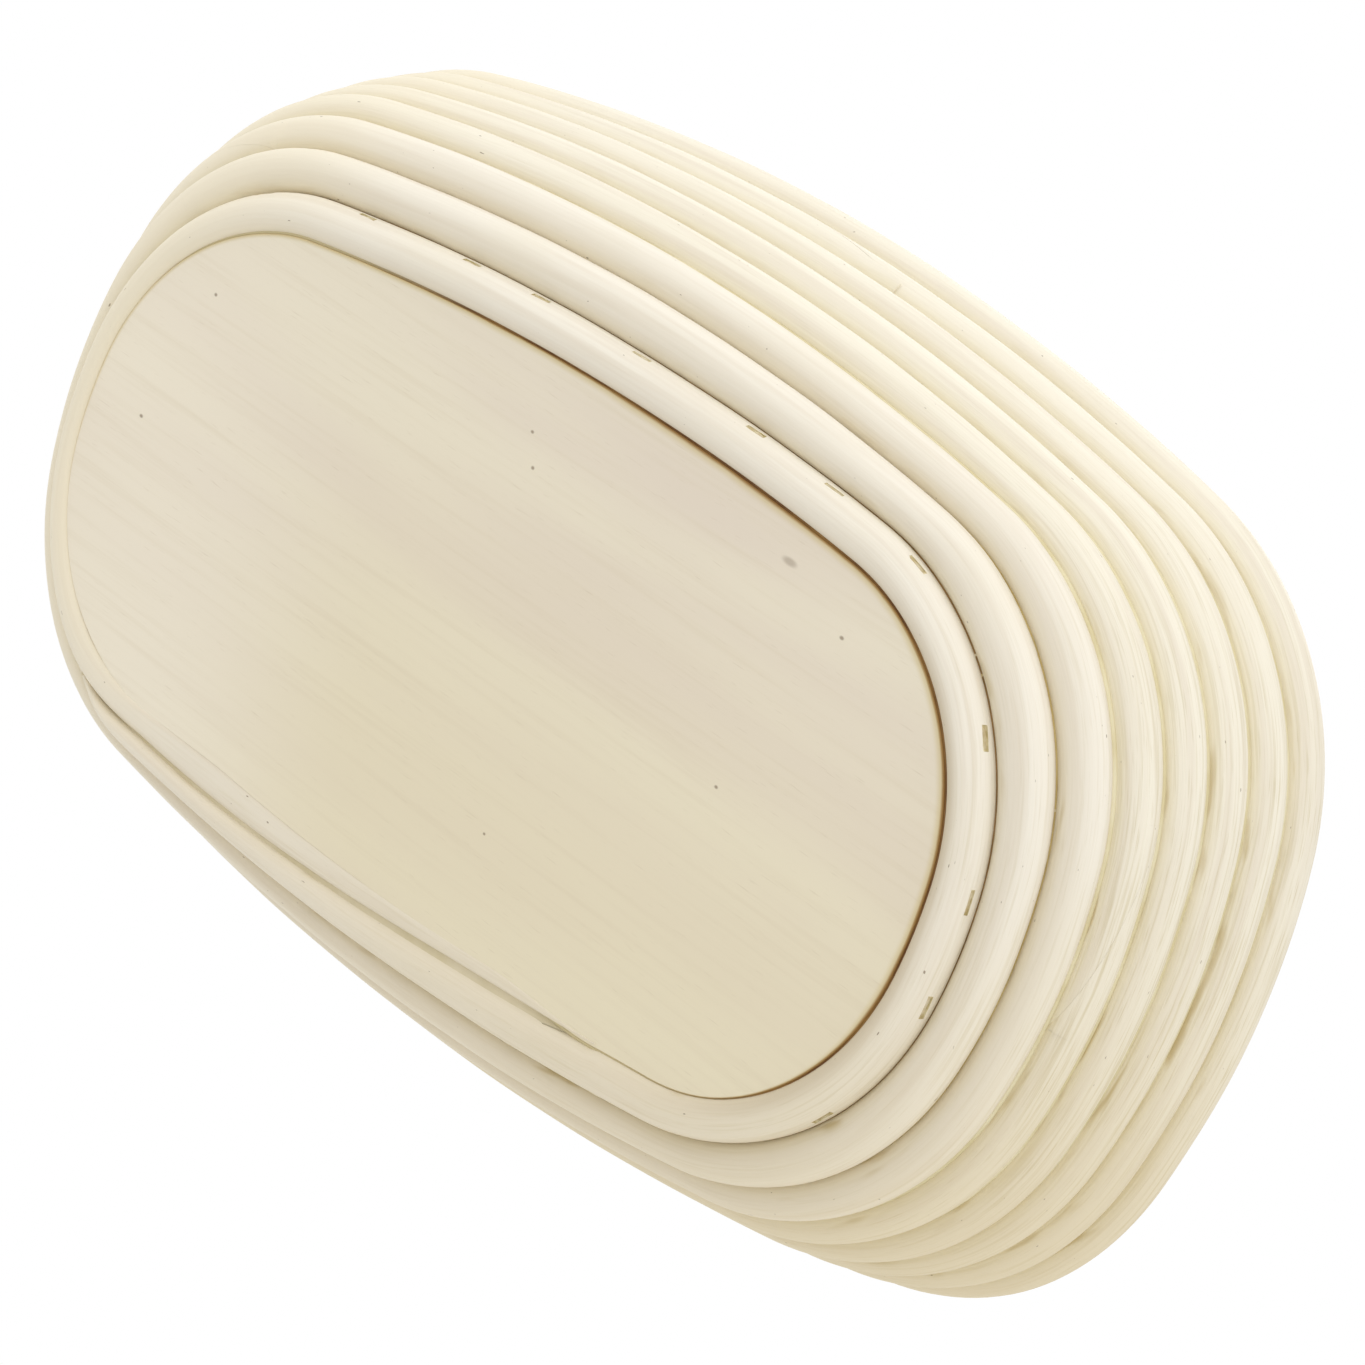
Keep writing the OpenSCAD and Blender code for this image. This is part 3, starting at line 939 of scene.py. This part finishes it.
def slot_cutter(places, material):
    """Boxes that cut the slots over the crowns."""
    draw = random.Random(slot_seed)
    half_y = crown_w / 2 + slot_end
    quads = [(0, 3, 2, 1), (4, 5, 6, 7), (0, 1, 5, 4), (1, 2, 6, 5), (2, 3, 7, 6), (3, 0, 4, 7)]
    points, faces = [], []
    for place in places:
        faces += [tuple(len(points) + i for i in quad) for quad in quads]
        half_z = (wire / 2 + slot_side) * draw.uniform(*slot_torn)
        for x, flare in ((-slot_deep, 1), (slot_top, slot_flare)):
            for y, z in ((-half_y, -half_z), (half_y, -half_z), (half_y, half_z), (-half_y, half_z)):
                points.append(place @ Vector((x, y, z * flare)))
    cutter = new_piece("slot_cutter", points, faces)
    cutter.data.materials.append(material)
    return cutter


def cut_slots(hoop, places, material):
    """Cuts the slots out of a hoop and drops the cutter."""
    cutter = slot_cutter(places, material)
    cut = hoop.modifiers.new("slots", "BOOLEAN")
    cut.object = cutter
    cut.operation = "DIFFERENCE"
    cut.solver = "EXACT"
    cut.material_mode = "TRANSFER"
    graph = bpy.context.evaluated_depsgraph_get()
    mesh = bpy.data.meshes.new_from_object(hoop.evaluated_get(graph))
    hoop.modifiers.clear()
    old = hoop.data
    mesh.name = old.name
    hoop.data = mesh
    bpy.data.meshes.remove(old)
    bpy.data.objects.remove(cutter)
    hoop.data.set_sharp_from_angle(angle=crease)


# Punched rattan: where a crown crushed the cane, the core shows tan and brown, torn in fibres of 1.5 mm.
raw_tan = linear("#e3d9b8")
raw_brown = linear("#c4b482")
torn_fibre = 1.5
punched, tree = new_material("punched_rattan_core")
where = put(tree, "TexCoord").outputs["Object"]
torn = put(tree, "TexNoise", {"Vector": where, "Scale": 1 / (torn_fibre * mm), "Detail": 2})
shade = put(tree, "MapRange", {0: torn, 1: 0.35, 2: 0.65})
core = put(tree, "Mix", {0: shade, 6: raw_tan, 7: raw_brown}, **colours)
rough_core = put(tree, "BsdfPrincipled", {"Base Color": core, "Roughness": 0.8})
put(tree, "OutputMaterial", {0: rough_core})

# Galvanised staple wire: dull grey metal, stained tan in 3 mm patches by the damp cane it was driven through.
wire_grey = linear("#ddd3b8")
wire_stain = linear("#c6b487")
damp_patch = 3
galvanised, tree = new_material("galvanised_staple_wire")
where = put(tree, "TexCoord").outputs["Object"]
damp = put(tree, "TexNoise", {"Vector": where, "Scale": 1 / (damp_patch * mm), "Detail": 3})
spread = put(tree, "MapRange", {0: damp, 1: 0.35, 2: 0.6})
film = put(tree, "Mix", {0: spread, 6: wire_grey, 7: wire_stain}, **colours)
dull = put(tree, "MapRange", {0: damp, 1: 0.3, 2: 0.7, 3: 0.4, 4: 0.65})
metal = put(tree, "BsdfPrincipled", {"Base Color": film, "Roughness": dull, "Metallic": 0.35})
put(tree, "OutputMaterial", {0: metal})

board_row = staple_row("board_staple_row", board_staple_places(), board_leg)
board_row.data.materials.append(galvanised)
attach(board_row, "root")
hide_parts("board_staples")
cut_slots(hoops[0], [p for p in board_staple_places() if not in_thin_end(p)], punched)
for n in range(1, hoop_count):
    row = staple_row(f"seam_staple_row_{n}", seam_staple_places(n), seam_leg)
    row.data.materials.append(galvanised)
    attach(row, "root")
    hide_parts(f"seam_staples_{n}")
# The other rows are covered by the next hoop, so only the row on the rim has open slots
cut_slots(hoops[-1], seam_staple_places(hoop_count - 1), punched)

# Studio.
# A pale paper floor that the basket stands on. The photograph looks up at the underside, so the floor shows
# only from above, and light from below passes through it.
floor_size = 12.0
floor_drop = 0.3 * mm
# The paper runs out of the light and into the white backdrop between these two distances
fade_start = 0.3
fade_end = 1.3


def seen_itself(tree):
    """1 for a ray that shows a thing itself: from the camera, mirrored, or through something clear."""
    rays = put(tree, "LightPath").outputs
    seen = put(tree, "Math", {0: rays["Is Camera Ray"], 1: rays["Is Glossy Ray"]}, operation="MAXIMUM")
    return put(tree, "Math", {0: seen, 1: rays["Is Transmission Ray"]}, operation="MAXIMUM")


# White paper: matt and even, with no grain that shows at this distance.
paper_white = linear("#f6f6f4")
paper, tree = new_material("white_paper_floor")
back = put(tree, "NewGeometry").outputs["Backfacing"]
front = put(tree, "Math", {0: 1, 1: back}, operation="SUBTRACT")
shown = put(tree, "Math", {0: seen_itself(tree), 1: front}, **product)
away = put(tree, "VectorMath", {0: put(tree, "TexCoord").outputs["Object"]}, operation="LENGTH")
fade = put(tree, "MapRange", {0: away, 1: fade_start, 2: fade_end}, **smoothly)
white = put(tree, "BsdfDiffuse", {0: paper_white})
sheet = put(tree, "MixShader", {0: fade, 1: white, 2: put(tree, "Emission")})
both = put(tree, "MixShader", {0: shown, 1: put(tree, "BsdfTransparent"), 2: sheet})
put(tree, "OutputMaterial", {0: both})
half = floor_size / 2
corners = [(x, y, -floor_drop) for x, y in ((-half, -half), (half, -half), (half, half), (-half, half))]
floor = new_piece("paper_floor", corners, [(0, 1, 2, 3)])
floor.data.materials.append(paper)

# A light tent: its sides are brighter than its top and bottom, and its far side is a little darker
tent_side = 1.1
tent_end = 0.56
tent_far = 0.96
tent_white = (1, 1, 1, 1)
world = bpy.data.worlds.new("studio")
bpy.context.scene.world = world
world.use_nodes = True
tree = world.node_tree
tree.nodes.clear()
toward = put(tree, "SeparateXYZ", {0: put(tree, "TexCoord").outputs["Generated"]}).outputs
height = put(tree, "Math", {0: toward[2], 1: toward[2]}, **product)
level = put(tree, "MapRange", {0: height, 3: tent_side, 4: tent_end})
shade = put(tree, "MapRange", {0: toward[1], 3: 1, 4: tent_far})
level = put(tree, "Math", {0: level, 1: shade}, **product)
air = put(tree, "Background", {0: tent_white, 1: level})
backdrop = put(tree, "Background", {0: tent_white, 1: 1})
both = put(tree, "MixShader", {0: seen_itself(tree), 1: air, 2: backdrop})
put(tree, "OutputWorld", {0: both})

# Large soft lamps: the main one below and off the near side, one by the camera, and one above the mouth.
# Each has its place and size in metres and its power, and all point at the middle of the basket.
lamps = [("key_softbox", (-0.25, -1.2, -0.3), 1.6, 4.3), ("front_softbox", (0.8, -0.25, -0.9), 1.2, 2),
         ("top_softbox", (-0.35, -0.4, 1.1), 1.0, 3)]
lamp_aim = Vector((0, 0, 30 * mm))
for name, spot, size, power in lamps:
    lamp = bpy.data.lights.new(name, "AREA")
    lamp.shape = "DISK"
    lamp.size = size
    lamp.energy = power
    holder = bpy.data.objects.new(name, lamp)
    holder.location = spot
    holder.rotation_euler = (lamp_aim - Vector(spot)).to_track_quat("-Z", "Y").to_euler()
    bpy.context.scene.collection.objects.link(holder)

# Camera: below the basket and off its right end, with a long lens on a 36 mm frame
image_px = 1365
focal_px = 4641.77
film_w = 36
nearest = 50 * mm
eye = Vector((564.07, -244.97, -648.57)) * mm
right = Vector((0.661085, -0.368934, 0.653341))
down = Vector((0.453678, 0.8901, 0.043573))
ahead = Vector((-0.597614, 0.267602, 0.755809))
lens = bpy.data.cameras.new("photo_camera")
lens.sensor_width = film_w
lens.lens = focal_px / image_px * film_w
lens.clip_start = nearest
camera = bpy.data.objects.new("photo_camera", lens)
camera.matrix_world = Matrix.Translation(eye) @ Matrix((right, -down, -ahead)).transposed().to_4x4()
bpy.context.scene.collection.objects.link(camera)
bpy.context.scene.camera = camera
bpy.context.scene.view_settings.view_transform = "Standard"
